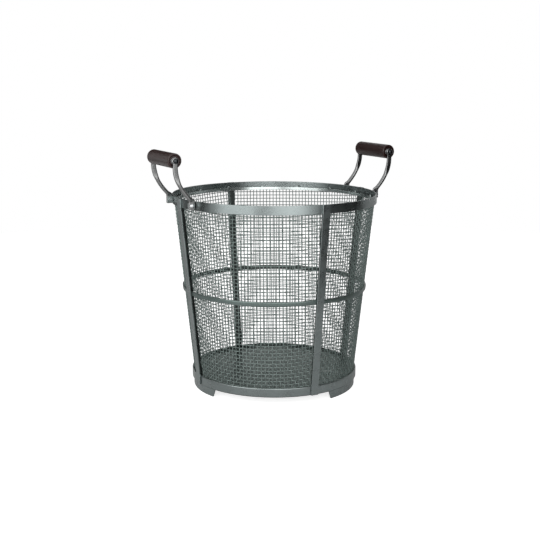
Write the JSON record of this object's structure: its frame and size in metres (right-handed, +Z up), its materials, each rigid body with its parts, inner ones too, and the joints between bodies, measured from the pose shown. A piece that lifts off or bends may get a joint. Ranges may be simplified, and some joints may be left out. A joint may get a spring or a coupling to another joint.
{
  "type": "log bin",
  "caption": "Tapering round log bin of woven wire cloth in a painted flat-steel frame, with a solid floor, curved strip feet and a turned grip on bent arms at each side.",
  "frame": {"origin": "on the floor, at the centre of the bin", "axes": "+Z up, +X towards the right handle, -Y towards the front stay"},
  "size_m": [0.513, 0.4266, 0.4955],
  "materials": {
    "frame_paint": "satin grey-green metallic paint",
    "cloth_wire": "satin grey-green paint on woven wire",
    "arm_steel": "satin metallic paint on forged rod",
    "grip_wood": "dark stained and lacquered",
    "dark_steel": "black plated steel",
    "bright_steel": "bright zinc plated steel"
  },
  "bodies": {
    "basket": {"base_plate": "frame_paint", "bottom_band": "frame_paint", "foot_right": "frame_paint", "foot_left": "frame_paint", "mid_ring": "frame_paint", "top_band": "frame_paint", "clamp_hoop": "frame_paint", "stay_right": "frame_paint", "stay_back": "frame_paint", "stay_left": "frame_paint", "stay_front": "frame_paint", "upright_bar_right": "frame_paint", "upright_bar_back": "frame_paint", "upright_bar_left": "frame_paint", "upright_bar_front": "frame_paint", "cloth_panel_1": "cloth_wire", "cloth_panel_2": "cloth_wire", "cloth_panel_3": "cloth_wire", "cloth_panel_4": "cloth_wire", "cloth_panel_5": "cloth_wire", "cloth_panel_6": "cloth_wire", "cloth_panel_7": "cloth_wire", "cloth_panel_8": "cloth_wire", "arm_right_front": "arm_steel", "arm_right_back": "arm_steel", "arm_left_front": "arm_steel", "arm_left_back": "arm_steel", "lug_right_front": "frame_paint", "lug_right_back": "frame_paint", "lug_left_front": "frame_paint", "lug_left_back": "frame_paint", "grip_rod_right": "dark_steel", "grip_rod_left": "dark_steel", "washer_right_front": "bright_steel", "washer_right_back": "bright_steel", "washer_left_front": "bright_steel", "washer_left_back": "bright_steel", "cap_nut_right_front": "dark_steel", "cap_nut_right_back": "dark_steel", "cap_nut_left_front": "dark_steel", "cap_nut_left_back": "dark_steel", "foot_bolt_right_front": "bright_steel", "foot_bolt_right_back": "bright_steel", "foot_bolt_left_front": "bright_steel", "foot_bolt_left_back": "bright_steel", "foot_nut_right_front": "bright_steel", "foot_nut_right_back": "bright_steel", "foot_nut_left_front": "bright_steel", "foot_nut_left_back": "bright_steel"},
    "right_grip": {"grip_right": "grip_wood"},
    "left_grip": {"grip_left": "grip_wood"}
  },
  "joints": [
    {"name": "right_grip_spin", "type": "hinge", "parent": "basket", "child": "right_grip", "pos_m": [0.242, 0, 0.481], "axis": [0, 1, 0], "continuous": true},
    {"name": "left_grip_spin", "type": "hinge", "parent": "basket", "child": "left_grip", "pos_m": [-0.242, 0, 0.481], "axis": [0, 1, 0], "continuous": true}
  ]
}
